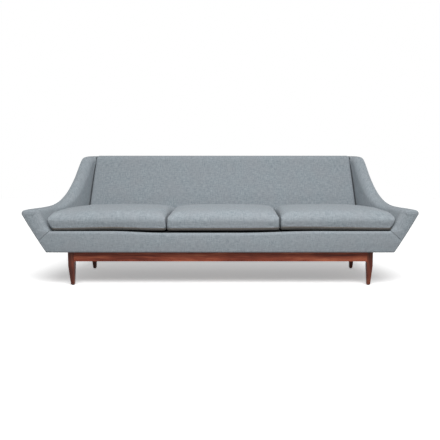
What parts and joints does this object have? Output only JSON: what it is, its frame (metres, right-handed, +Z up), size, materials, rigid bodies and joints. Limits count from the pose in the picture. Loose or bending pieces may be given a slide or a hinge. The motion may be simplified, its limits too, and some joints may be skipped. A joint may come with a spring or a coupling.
{
  "type": "gondola sofa",
  "caption": "Low gondola-shaped sofa with loose seat cushions; its splayed, rolled arms sweep up into wings beside a leaning back, on a slim wooden stand with tapered legs.",
  "frame": {"origin": "on the floor, below the centre of the whole sofa's bounding box", "axes": "+X along the sofa, to the right of someone facing its front; -Y towards the front; +Z up"},
  "size_m": [2.324, 0.7982, 0.78],
  "materials": {
    "wool": "fine woven wool, blue-grey, matte",
    "dark_wood": "dark reddish-brown wood with a satin oil finish",
    "frame_wood": "bare pale frame wood",
    "foam": "open-cell foam, matte",
    "webbing": "jute webbing",
    "hessian": "coarse hessian",
    "dust_cloth": "black cambric",
    "zip": "grey nylon coil on tape",
    "glide": "dark nylon",
    "steel": "zinc-plated"
  },
  "bodies": {
    "sofa": {"leg_front_left": "dark_wood", "leg_front_right": "dark_wood", "leg_rear_left": "dark_wood", "leg_rear_right": "dark_wood", "stand_rail_front": "dark_wood", "stand_rail_rear": "dark_wood", "stand_rail_left": "dark_wood", "stand_rail_right": "dark_wood", "stand_cross_rail": "frame_wood", "stand_corner_blocks": "frame_wood", "stand_screws": "steel", "floor_glides": "glide", "seat_rail_front": "frame_wood", "seat_rail_rear": "frame_wood", "seat_rail_left": "frame_wood", "seat_rail_right": "frame_wood", "seat_cross_rails": "frame_wood", "seat_corner_blocks": "frame_wood", "seat_webbing": "webbing", "seat_hessian": "hessian", "seat_deck_pad": "wool", "front_border_pad": "wool", "dust_cover": "dust_cloth", "back_post_left": "frame_wood", "back_post_right": "frame_wood", "back_inner_posts": "frame_wood", "back_top_rail": "frame_wood", "back_low_rail": "frame_wood", "back_hessian": "hessian", "back_pad": "wool", "back_outer_panel": "wool", "arm_post_left": "frame_wood", "arm_post_right": "frame_wood", "arm_top_rail_left": "frame_wood", "arm_top_rail_right": "frame_wood", "arm_foot_rail_left": "frame_wood", "arm_foot_rail_right": "frame_wood", "wing_board_left": "frame_wood", "wing_board_right": "frame_wood", "arm_pad_left": "wool", "arm_pad_right": "wool", "arm_outer_panel_left": "wool", "arm_outer_panel_right": "wool"},
    "cushion_left": {"cushion_cover_left": "wool", "cushion_core_left": "foam", "cushion_zip_left": "zip"},
    "cushion_middle": {"cushion_cover_middle": "wool", "cushion_core_middle": "foam", "cushion_zip_middle": "zip"},
    "cushion_right": {"cushion_cover_right": "wool", "cushion_core_right": "foam", "cushion_zip_right": "zip"}
  },
  "joints": [
    {"name": "cushion_left_lift", "type": "slide", "parent": "sofa", "child": "cushion_left", "axis": [0, -0.342, 0.9397], "range_m": [0, 0.25]},
    {"name": "cushion_middle_lift", "type": "slide", "parent": "sofa", "child": "cushion_middle", "axis": [0, -0.342, 0.9397], "range_m": [0, 0.25]},
    {"name": "cushion_right_lift", "type": "slide", "parent": "sofa", "child": "cushion_right", "axis": [0, -0.342, 0.9397], "range_m": [0, 0.25]}
  ]
}
